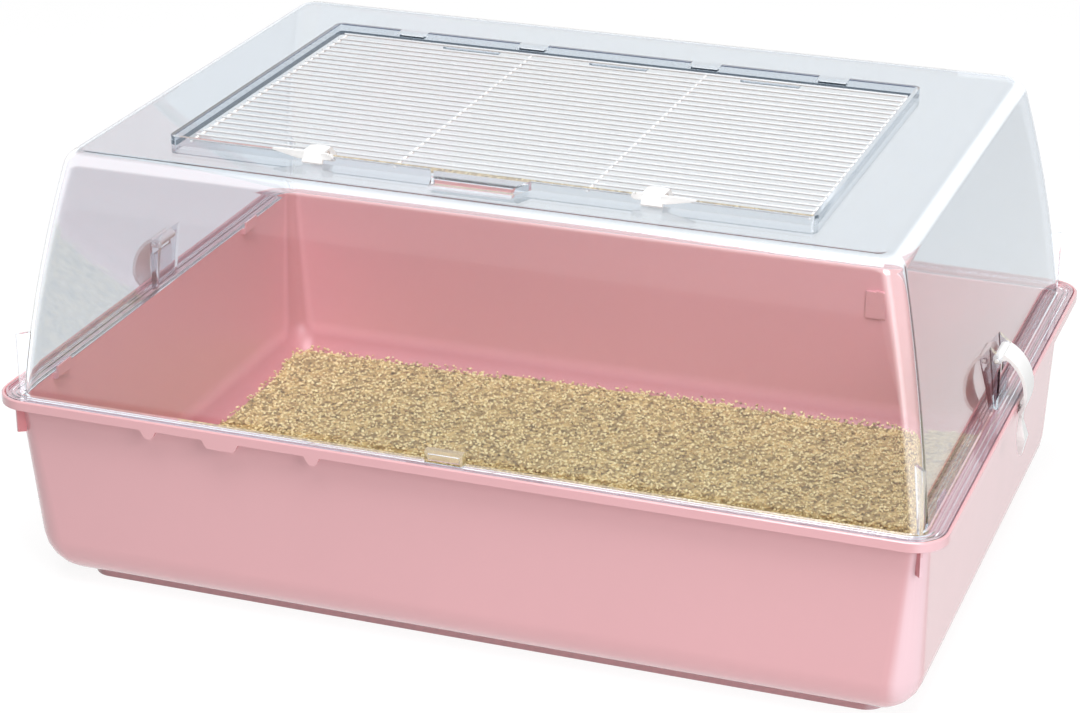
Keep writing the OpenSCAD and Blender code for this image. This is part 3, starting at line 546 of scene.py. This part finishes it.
# Painted highlight: an emission on the rounded corners at the front and on the right, where the
# normal lies between two walls; it stands in for the lamps showing in the curve.
painted_glow_group, given, filled = shader_group(
    "painted_glow",
    [("Normal", VECTOR, (0, 0, 1)), ("Place", VECTOR, (0, 0, 0)), ("Color", COLOUR, (1, 1, 1, 1)),
     ("Start", VALUE, 0.955), ("Full", VALUE, 0.86), ("Front", VALUE, -0.145),
     ("Right", VALUE, 0.195)],
    [("Light", COLOUR)])
calc = partial(worked_out, painted_glow_group)
x, y, z = axes(painted_glow_group, given["Place"])
either = calc("MAXIMUM", calc("LESS_THAN", y, given["Front"]),
              calc("GREATER_THAN", x, given["Right"]))
turned = turned_mask(painted_glow_group, given["Normal"], given["Start"], given["Full"])
light = scaled(painted_glow_group, given["Color"], calc("MULTIPLY", turned, either))
painted_glow_group.links.new(light, filled["Light"])

# Kerb line, painted shade: 1 on the top of the roof kerb along its back and left sides, where the
# wall is seen end on and looks dark, and a near-black colour is painted there. The four tabs at
# the back break it.
kerb_dark, given, filled = shader_group(
    "kerb_painted_dark_line",
    [("Place", VECTOR, (0, 0, 0)), ("Height", VALUE, 0.2694), ("Back", VALUE, 0.1000),
     ("Left", VALUE, -0.1835), ("Inner Tab", VALUE, 0.055), ("Outer Tab", VALUE, 0.134),
     ("Half Tab", VALUE, 0.0092)],
    [("Mask", VALUE)])
calc = partial(worked_out, kerb_dark)
x, y, z = axes(kerb_dark, given["Place"])
off_middle = calc("ABSOLUTE", x)
off_tab = calc("MINIMUM", calc("ABSOLUTE", calc("SUBTRACT", off_middle, given["Inner Tab"])),
               calc("ABSOLUTE", calc("SUBTRACT", off_middle, given["Outer Tab"])))
between_tabs = calc("GREATER_THAN", off_tab, given["Half Tab"])
at_back = calc("MULTIPLY", calc("GREATER_THAN", y, given["Back"]), between_tabs)
at_left = calc("LESS_THAN", x, given["Left"])
on_top = calc("GREATER_THAN", z, given["Height"])
kerb_dark.links.new(calc("MULTIPLY", calc("MAXIMUM", at_back, at_left), on_top), filled["Mask"])


def clear_material(name, gloss, painted_glow, edge_start, edge_full):
    """Clear plastic that bends light a little and lets the lamps shine straight through."""
    material, tree, shader, skin = moulded_material(name, HOOD_TINT, cloud=0.02, gloss=gloss,
                                                    spread=0.02, grain_mm=0.004)
    calc = partial(worked_out, tree)
    shader.inputs["Transmission Weight"].default_value = 1.0
    shader.inputs["IOR"].default_value = HOOD_IOR
    shader.inputs["Coat Weight"].default_value = HOOD_COAT
    shader.inputs["Coat Roughness"].default_value = HOOD_COAT_ROUGHNESS
    # painted highlight: the emission makes the rounded edges glow
    shader.inputs["Emission Strength"].default_value = 1.0
    place = tree.nodes.new("ShaderNodeTexCoord").outputs
    edges = group_node(tree, painted_glow_group, {"Color": painted_glow, "Start": edge_start,
                                        "Full": edge_full})
    tree.links.new(place["Normal"], edges.inputs["Normal"])
    tree.links.new(place["Object"], edges.inputs["Place"])
    tree.links.new(edges.outputs["Light"], shader.inputs["Emission Color"])
    # The wall's own blue-grey deepens where the eye looks along it.
    along = tree.nodes.new("ShaderNodeLayerWeight")
    along.inputs["Blend"].default_value = HOOD_ALONG_BLEND
    steep = calc("POWER", along.outputs["Facing"], HOOD_ALONG_POWER)
    deeper = mixed(tree, steep, skin.outputs["Color"], HOOD_TINT_ALONG)
    kerb = group_node(tree, kerb_dark, {})
    tree.links.new(place["Object"], kerb.inputs["Place"])
    # painted shade: the dark kerb line is painted into the wall's colour
    tree.links.new(mixed(tree, kerb.outputs["Mask"], deeper, KERB_PAINTED_DARK_LINE),
                   shader.inputs["Base Color"])
    # Lamps shine straight through; light caught inside the wall leaves it weakened.
    path = tree.nodes.new("ShaderNodeLightPath").outputs
    lighting = calc("MAXIMUM", path["Is Shadow Ray"], path["Is Diffuse Ray"])
    caught = calc("GREATER_THAN", path["Glossy Depth"], TURNS_TO_CATCH)
    passing = tree.nodes.new("ShaderNodeBsdfTransparent")
    tree.links.new(mixed(tree, caught, HOOD_PASSES, HOOD_CAUGHT), passing.inputs["Color"])
    through = mixed_shader(tree, calc("MAXIMUM", lighting, caught), shader.outputs[0],
                           passing.outputs[0])
    tree.links.new(through, tree.nodes["Material Output"].inputs["Surface"])
    return material


hood = finished_copy("hood", "clear_hood", "hood", HOOD_EDGE_MM)
hood.data.materials.append(
    clear_material("clear_polystyrene", HOOD_GLOSS, HOOD_PAINTED_EDGE_HIGHLIGHT, edge_start=0.955,
                   edge_full=0.86))
# The kerb's front, the finger grip and the front catch have a faintly hazy, rougher face, and a
# painted glow: an emission that lights them whichever way they face.
hood.data.materials.append(
    clear_material("hazy_polystyrene_painted_glow", HOOD_HAZY_GLOSS, HOOD_HAZE_PAINTED_GLOW, edge_start=1.2,
                   edge_full=1.1))
for polygon in hood.data.polygons:
    x, y, z = polygon.center
    at_kerb = y < KERB_FRONT_Y and z > ROOF_Z
    at_grip = abs(x) < GRIP_HALF and GRIP_Y < y < KERB_FRONT_Y and z > GRIP_Z
    at_catch = abs(x) < CATCH_HALF and y < CATCH_Y and z > CATCH_Z
    if at_kerb or at_grip or at_catch:
        polygon.material_index = 1


# ---------------------------------------------------------------- roof grille
# Steel wires of 1.5 mm, welded into a panel and coated in white. The back wire lies under
# the hood's tabs and is the hinge; the front wire carries the two clips.
# painted light: the cross wires carry the same white coating as the long wires, but get a much
# lighter colour, to lift them out of the shade under the long wires
WIRE_WHITE, CROSS_WHITE_PAINTED_LIGHT = (0.60, 0.62, 0.64, 1.0), (0.92, 0.92, 0.92, 1.0)
WIRE_EDGE_MM = 0.2
long_wire = moulded_material("white_coated_wire", WIRE_WHITE, cloud=0.03, gloss=0.25,
                             spread=0.08, grain_mm=0.04)[0]
cross_wire = moulded_material("white_coated_cross_wire_painted_light", CROSS_WHITE_PAINTED_LIGHT, cloud=0.03, gloss=0.25,
                              spread=0.08, grain_mm=0.04)[0]
for node, coating in (("grille_back_wire", long_wire), ("grille_bars", long_wire),
                      ("grille_front_wire", long_wire), ("grille_cross_wires", cross_wire)):
    wires = finished_copy(node, "white_" + node, "grille", WIRE_EDGE_MM)
    wires.data.materials.append(coating)


# ---------------------------------------------------------------- roof clips
# Two white nylon snap clips turn on the grille's front wire and reach over the kerb. Each has
# a sleeve, a wedge nose, two wings and a raised fin for the thumb.
CLIP_WHITE = (0.78, 0.78, 0.775, 1.0)
CLIP_EDGE_MM = 0.3
white_nylon = moulded_material("white_nylon", CLIP_WHITE, cloud=0.03, gloss=0.32,
                               spread=0.08, grain_mm=0.03)[0]
for side in ("left", "right"):
    clip = finished_copy("roof_clip_" + side, "white_roof_clip_" + side, "roof_clip_" + side,
                         CLIP_EDGE_MM)
    clip.data.materials.append(white_nylon)


# ---------------------------------------------------------------- end clips
# One white nylon clip on each end wall hangs on a moulded pin between two cheeks of the hood,
# bows out over the rim and ends in a thumb leaf.
for side in ("left", "right"):
    clip = finished_copy("end_clip_" + side, "white_end_clip_" + side, "end_clip_" + side,
                         CLIP_EDGE_MM)
    clip.data.materials.append(white_nylon)
